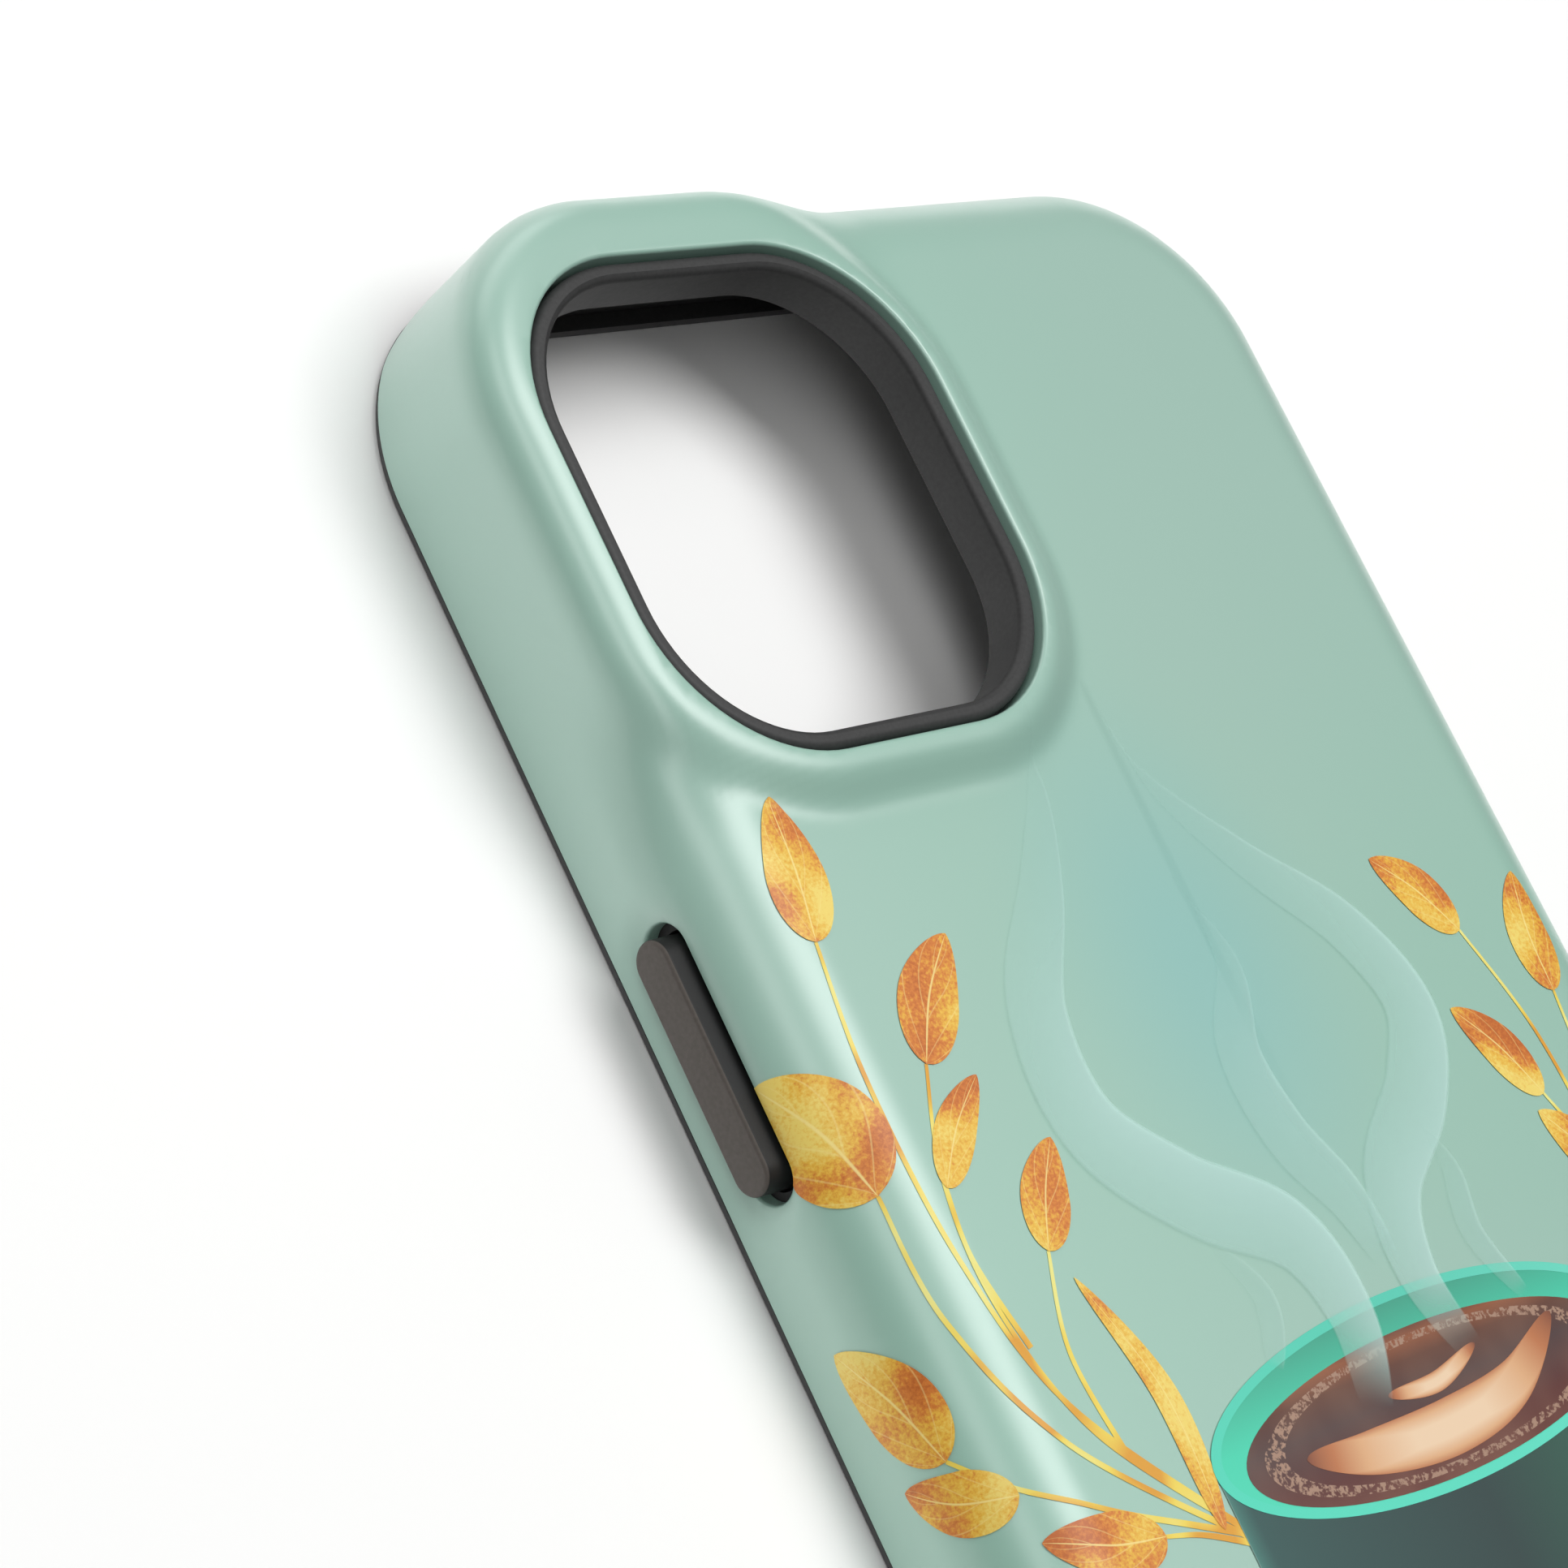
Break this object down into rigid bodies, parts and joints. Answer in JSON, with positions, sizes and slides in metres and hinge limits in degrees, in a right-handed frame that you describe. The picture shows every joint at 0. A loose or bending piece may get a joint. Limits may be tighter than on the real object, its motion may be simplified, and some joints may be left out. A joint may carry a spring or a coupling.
{
  "type": "phone case",
  "caption": "Two-part protective phone case: hard printed shell over a soft liner, raised camera rim, sprung side and volume buttons, switch and port cut-outs.",
  "frame": {"origin": "middle of the case's footprint, on the plane of the front lip that the case rests on when it lies face down", "axes": "+Z out of the case's back, +Y towards the phone's top end (camera end), +X across the back to the volume button side"},
  "size_m": [0.08, 0.154, 0.0127],
  "materials": {
    "shell": "satin polycarbonate, sage green, with a printed gold, turquoise and brown design on the back",
    "liner": "matt charcoal thermoplastic polyurethane",
    "button": "matt taupe-grey thermoplastic polyurethane"
  },
  "bodies": {
    "case": {"outer_shell": "shell", "inner_liner": "liner"},
    "side_key": {"side_button": "button"},
    "volume_up_key": {"volume_up_button": "button"},
    "volume_down_key": {"volume_down_button": "button"}
  },
  "joints": [
    {"name": "side_press", "type": "slide", "parent": "case", "child": "side_key", "axis": [1, 0, 0], "range_m": [0, 0.0004], "stiffness_N_per_m": 2500, "springref_m": -0.0001},
    {"name": "volume_up_press", "type": "slide", "parent": "case", "child": "volume_up_key", "axis": [-1, 0, 0], "range_m": [0, 0.0004], "stiffness_N_per_m": 2500, "springref_m": -0.0001},
    {"name": "volume_down_press", "type": "slide", "parent": "case", "child": "volume_down_key", "axis": [-1, 0, 0], "range_m": [0, 0.0004], "stiffness_N_per_m": 2500, "springref_m": -0.0001}
  ]
}
